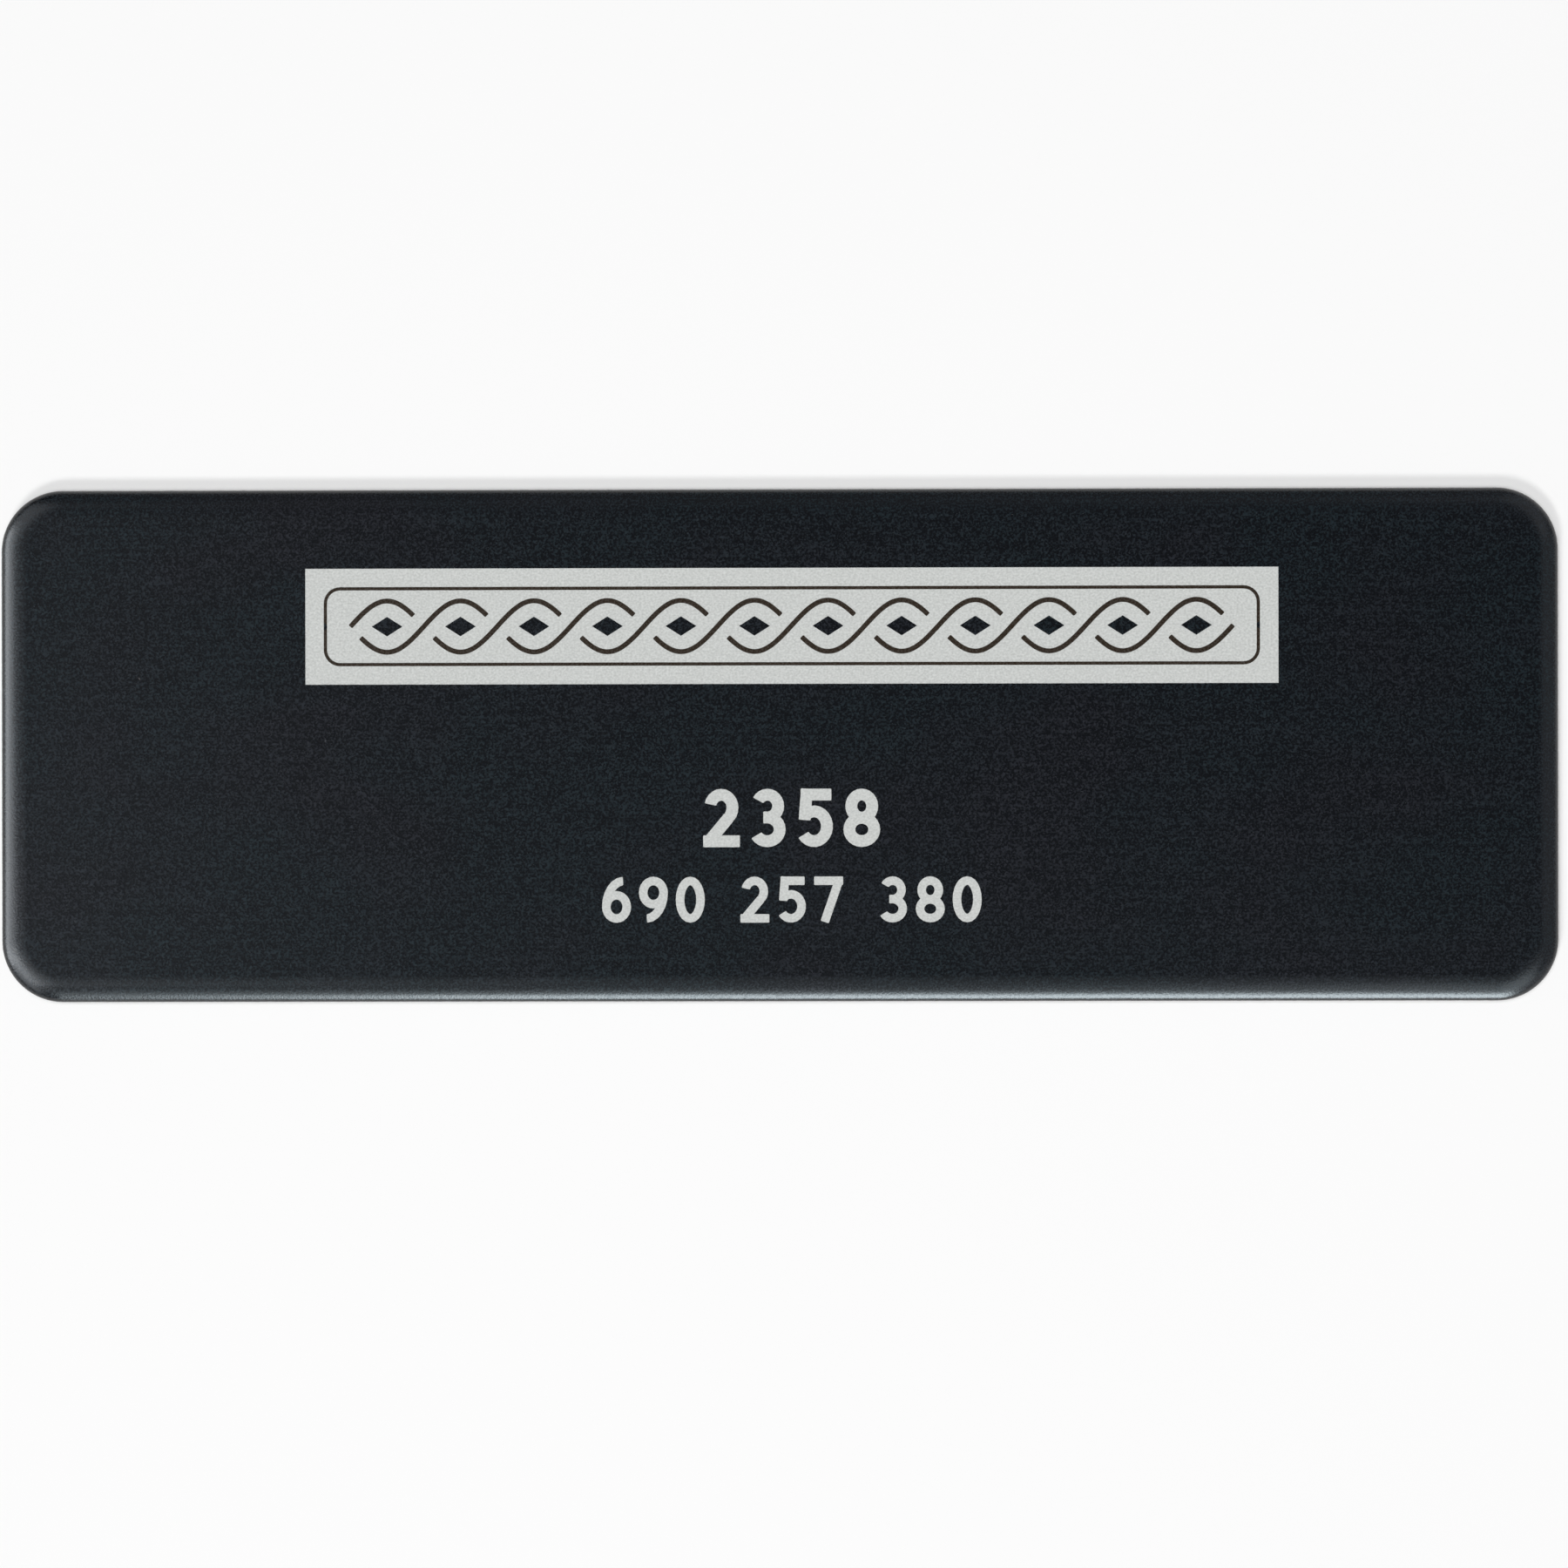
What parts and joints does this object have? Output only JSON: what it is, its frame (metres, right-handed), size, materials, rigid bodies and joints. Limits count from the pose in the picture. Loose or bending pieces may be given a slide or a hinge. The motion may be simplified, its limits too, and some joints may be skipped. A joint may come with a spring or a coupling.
{
  "type": "name badge",
  "caption": "Slim black metal name badge with rounded corners and a rounded front edge, a shallow laser-marked face and a steel strip on its back for a magnet.",
  "frame": {"origin": "middle of the back of the keeper strip, on which the badge lies", "axes": "+X along the badge to the right of its face, +Y up its face, +Z out of its face"},
  "size_m": [0.076, 0.025, 0.0022],
  "materials": {
    "black_anodised": "black anodised over a fine horizontal brushing",
    "laser_marked_metal": "matt light grey, where a laser has burnt the black film off; it is on the face's marking, which is part of the plate",
    "nickel_plate": "satin nickel plate"
  },
  "bodies": {
    "root": {"badge_plate": "black_anodised", "keeper_strip": "nickel_plate"}
  },
  "joints": []
}
